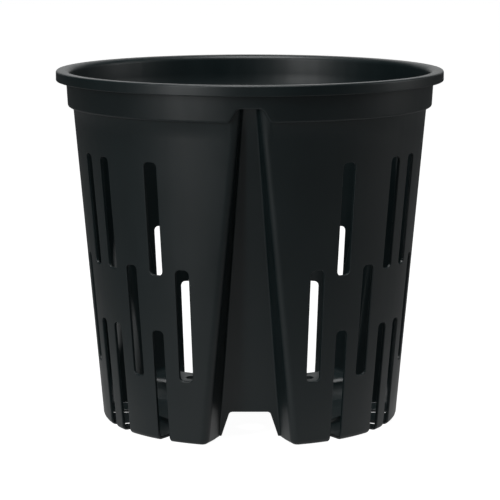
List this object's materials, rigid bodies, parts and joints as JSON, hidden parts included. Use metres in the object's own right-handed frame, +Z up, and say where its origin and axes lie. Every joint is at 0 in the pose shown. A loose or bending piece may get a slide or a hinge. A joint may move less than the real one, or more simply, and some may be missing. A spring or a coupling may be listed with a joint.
{
  "type": "plant pot",
  "caption": "Round moulded plant pot with a tapered, slotted wall, flared upright grooves, a collar with a turned-down rim and a ridged floor with drain holes.",
  "frame": {"origin": "on the ground under the middle of the pot", "axes": "+Z up along the pot's axis; -Y faces the picture's viewer, through the middle of one groove"},
  "size_m": [0.22, 0.22, 0.2],
  "materials": {
    "pot": "satin near-black moulded plastic"
  },
  "bodies": {
    "root": {"pot": "pot"}
  },
  "joints": []
}
